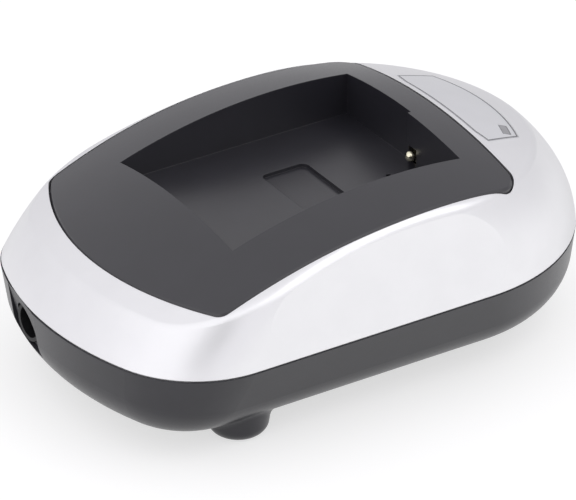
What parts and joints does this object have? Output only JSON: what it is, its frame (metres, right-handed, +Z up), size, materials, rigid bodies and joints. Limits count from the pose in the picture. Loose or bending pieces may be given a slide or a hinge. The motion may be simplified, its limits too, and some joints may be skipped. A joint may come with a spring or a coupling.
{
  "type": "camera battery charger",
  "caption": "Desk charger for a flat camera battery: silver mouse-shaped cover on a dark base, dark adapter plate with an open battery bay, and a round power socket in the rear end.",
  "frame": {"origin": "on the table, under the middle of the housing", "axes": "+X from the socket end to the nose with the label, +Z up"},
  "size_m": [0.101, 0.0652, 0.0387],
  "materials": {
    "silver_plastic": "satin silver paint",
    "charcoal_plastic": "fine matt texture",
    "plate_plastic": "fine matt texture",
    "panel_plastic": "matt",
    "label_film": "satin film",
    "light_pipe": "frosted",
    "contact_metal": "plated",
    "plated_metal": "plated",
    "black_plastic": "matt",
    "board_laminate": "solder mask",
    "ferrite": "sintered",
    "copper_wire": "varnished",
    "can_metal": "drawn",
    "screw_steel": "black zinc"
  },
  "bodies": {
    "root": {"upper_cover": "silver_plastic", "base_shell": "charcoal_plastic", "adapter_plate": "plate_plastic", "jack_panel": "panel_plastic", "label": "label_film", "led_window": "light_pipe", "battery_contact_1": "contact_metal", "battery_contact_2": "contact_metal", "plate_contact_springs": "contact_metal", "dc_jack_body": "black_plastic", "dc_jack_pin": "plated_metal", "dc_jack_spring": "plated_metal", "circuit_board": "board_laminate", "controller_chip": "black_plastic", "switching_transistor": "black_plastic", "rectifier_diode": "black_plastic", "inductor_core": "ferrite", "inductor_winding": "copper_wire", "input_capacitor": "can_metal", "output_capacitor": "can_metal", "chip_resistors": "black_plastic", "status_led": "light_pipe", "case_screws": "screw_steel", "board_screws": "screw_steel"}
  },
  "joints": []
}
